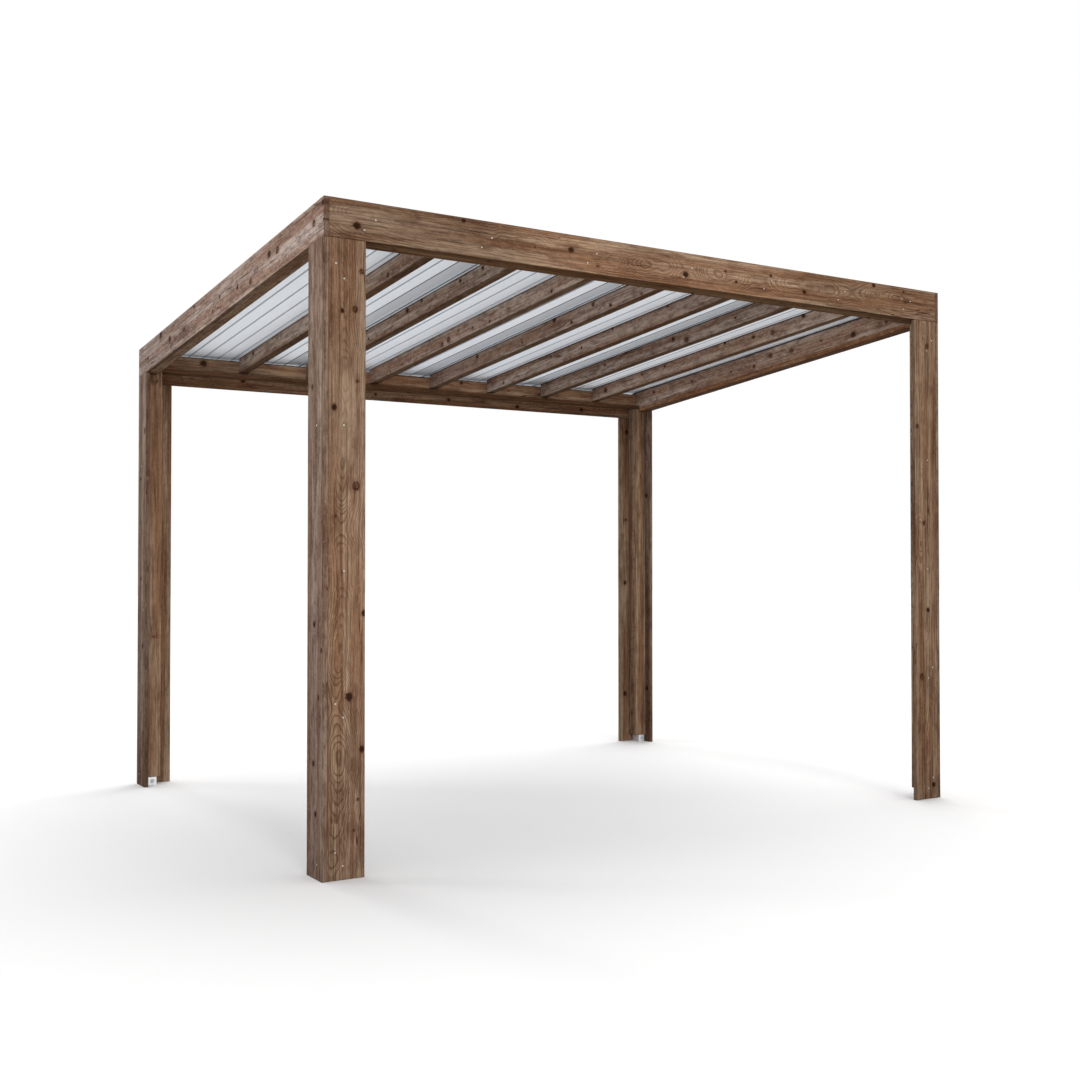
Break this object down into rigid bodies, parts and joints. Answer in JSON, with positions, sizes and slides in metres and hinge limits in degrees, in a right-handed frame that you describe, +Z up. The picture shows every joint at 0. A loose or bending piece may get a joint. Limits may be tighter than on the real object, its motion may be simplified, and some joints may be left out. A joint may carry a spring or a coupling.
{
  "type": "wooden pergola",
  "caption": "Free-standing wooden pergola: clad corner posts on steel shoes, board fascias, sloping rafters and a ribbed metal lean-to roof that drains to the back.",
  "frame": {"origin": "middle of the outline at ground level, under the feet of the posts", "axes": "+Z up, +X to the right along the front, the long side, +Y from the high front to the low back"},
  "size_m": [3.197, 2.477, 2.45],
  "materials": {
    "post_timber": "brown oiled knotty softwood",
    "fascia_timber": "brown oiled knotty softwood",
    "roof_timber": "brown oiled knotty softwood",
    "roof_sheet": "pale grey coated steel",
    "shoe_steel": "zinc coated"
  },
  "bodies": {
    "root": {"fascia_back": "fascia_timber", "fascia_front": "fascia_timber", "fascia_left": "fascia_timber", "fascia_right": "fascia_timber", "header_back": "roof_timber", "header_front": "roof_timber", "post_core_bl": "post_timber", "post_core_br": "post_timber", "post_core_fl": "post_timber", "post_core_fr": "post_timber", "post_face_board_bl": "post_timber", "post_face_board_br": "post_timber", "post_face_board_fl": "post_timber", "post_face_board_fr": "post_timber", "post_shoe_bl": "shoe_steel", "post_shoe_br": "shoe_steel", "post_shoe_fl": "shoe_steel", "post_shoe_fr": "shoe_steel", "post_side_board_bl": "post_timber", "post_side_board_br": "post_timber", "post_side_board_fl": "post_timber", "post_side_board_fr": "post_timber", "rafter_1": "roof_timber", "rafter_2": "roof_timber", "rafter_3": "roof_timber", "rafter_4": "roof_timber", "rafter_5": "roof_timber", "rafter_6": "roof_timber", "rafter_7": "roof_timber", "roof_sheet_1": "roof_sheet", "roof_sheet_2": "roof_sheet", "roof_sheet_3": "roof_sheet", "roof_sheet_4": "roof_sheet", "side_joist_left": "roof_timber", "side_joist_right": "roof_timber", "wall_plate_back": "roof_timber", "wall_plate_front": "roof_timber"}
  },
  "joints": []
}
